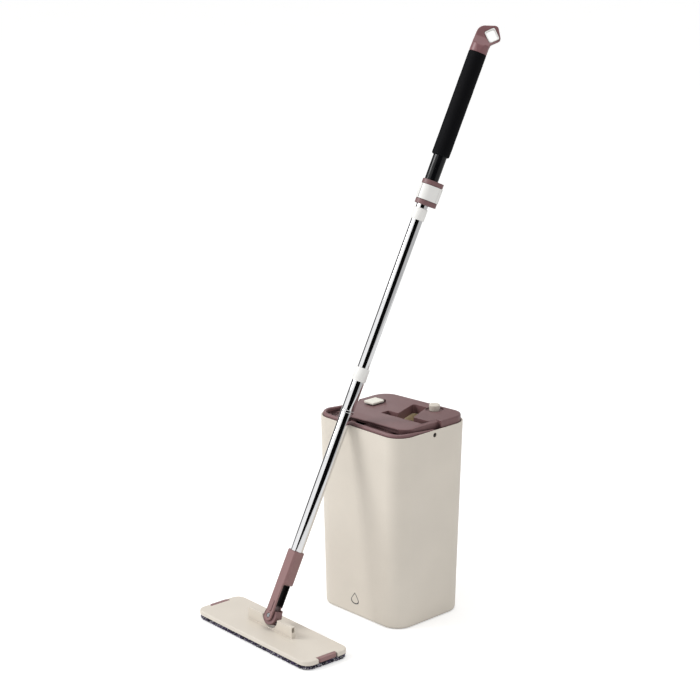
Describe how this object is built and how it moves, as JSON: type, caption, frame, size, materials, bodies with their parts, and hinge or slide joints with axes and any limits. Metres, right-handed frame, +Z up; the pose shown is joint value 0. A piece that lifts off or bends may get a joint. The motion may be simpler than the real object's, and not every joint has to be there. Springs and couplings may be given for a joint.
{
  "type": "flat squeeze mop with bucket",
  "caption": "Flat mop with a telescoping tilted pole beside a tall rounded bucket whose deck has a washing slot and a scraping slot.",
  "frame": {"origin": "centre of the bucket's flat underside, on the floor", "axes": "+Z up, -Y out of the bucket's broad front and towards the mop, +X out of the bucket's narrow side nearest the drain knob"},
  "size_m": [0.3306, 0.5528, 1.1001],
  "materials": {
    "cream_plastic": "fine matt moulded polypropylene",
    "white_plastic": "satin moulded plastic",
    "brown_plastic": "satin mauve-brown moulded plastic",
    "black_plastic": "matt black moulded plastic",
    "black_rubber": "soft matt rubber",
    "chrome_tube": "bright plated steel tube",
    "steel_pin": "polished steel",
    "black_tube": "glossy black enamel",
    "black_foam": "fine closed-cell foam",
    "hook_tape": "woven hook tape",
    "pad_fabric": "mottled microfibre pile, charcoal with pale and purple yarns"
  },
  "bodies": {
    "bucket": {"bucket_shell": "cream_plastic", "deck": "brown_plastic", "wringer_chute": "cream_plastic", "scraper_blade": "black_rubber", "divider_wall": "cream_plastic", "wash_comb": "cream_plastic", "handle_pin_left": "brown_plastic", "handle_pin_right": "brown_plastic", "flap_pin": "steel_pin"},
    "carry_handle": {"carry_handle": "brown_plastic"},
    "filler_flap": {"filler_flap": "cream_plastic"},
    "drain": {"drain_knob": "cream_plastic", "drain_rod": "black_plastic", "drain_plug": "brown_plastic", "drain_seal": "black_rubber"},
    "mop_head": {"mop_pad": "pad_fabric", "head_plate": "cream_plastic", "head_base": "cream_plastic", "hook_strip_front": "hook_tape", "hook_strip_rear": "hook_tape", "end_tab_left": "brown_plastic", "end_tab_right": "brown_plastic"},
    "swivel": {"swivel_block": "brown_plastic", "trunnion_pin_left": "steel_pin", "trunnion_pin_right": "steel_pin"},
    "lower_pole": {"lower_housing": "brown_plastic", "channel_liner": "black_plastic", "fork_pin": "steel_pin", "lower_tube": "chrome_tube", "joint_ring": "chrome_tube", "middle_tube": "chrome_tube", "lower_collar": "white_plastic"},
    "upper_pole": {"upper_tube": "chrome_tube", "stop_collar": "white_plastic"},
    "handle": {"clamp_body": "brown_plastic", "clamp_band": "white_plastic", "clamp_pin": "steel_pin", "handle_tube": "black_tube", "foam_grip": "black_foam", "end_cap": "brown_plastic", "hook_liner": "white_plastic"},
    "clamp_lever": {"clamp_lever": "white_plastic"}
  },
  "joints": [
    {"name": "handle_swing", "type": "hinge", "parent": "bucket", "child": "carry_handle", "pos_m": [0, 0, 0.371], "axis": [-1, 0, 0], "range_deg": [0, 95]},
    {"name": "flap_hinge", "type": "hinge", "parent": "bucket", "child": "filler_flap", "pos_m": [-0.0665, 0.0362, 0.39047], "axis": [-0.9993, 0, -0.038], "range_deg": [0, 100]},
    {"name": "drain_pull", "type": "slide", "parent": "bucket", "child": "drain", "axis": [0, 0, 1], "range_m": [0, 0.018]},
    {"name": "mop_lift", "type": "slide", "parent": "bucket", "child": "mop_head", "axis": [0, 0, 1], "range_m": [0, 0.45]},
    {"name": "head_pitch", "type": "hinge", "parent": "mop_head", "child": "swivel", "pos_m": [-0.041, -0.27, 0.032], "axis": [0.999, -0.0445, 0], "range_deg": [0, 90]},
    {"name": "head_fold", "type": "hinge", "parent": "swivel", "child": "lower_pole", "pos_m": [-0.04084, -0.26631, 0.04021], "axis": [0.0406, 0.9112, -0.4099], "range_deg": [-45, 78]},
    {"name": "pole_telescope", "type": "slide", "parent": "lower_pole", "child": "upper_pole", "axis": [0.0661, 0.4069, 0.9111], "range_m": [-0.25, 0]},
    {"name": "handle_telescope", "type": "slide", "parent": "upper_pole", "child": "handle", "axis": [0.0661, 0.4069, 0.9111], "range_m": [0, 0.16]},
    {"name": "clamp_release", "type": "hinge", "parent": "handle", "child": "clamp_lever", "pos_m": [0.03319, 0.08259, 0.79551], "axis": [0.0661, 0.4069, 0.9111], "range_deg": [0, 100]}
  ]
}
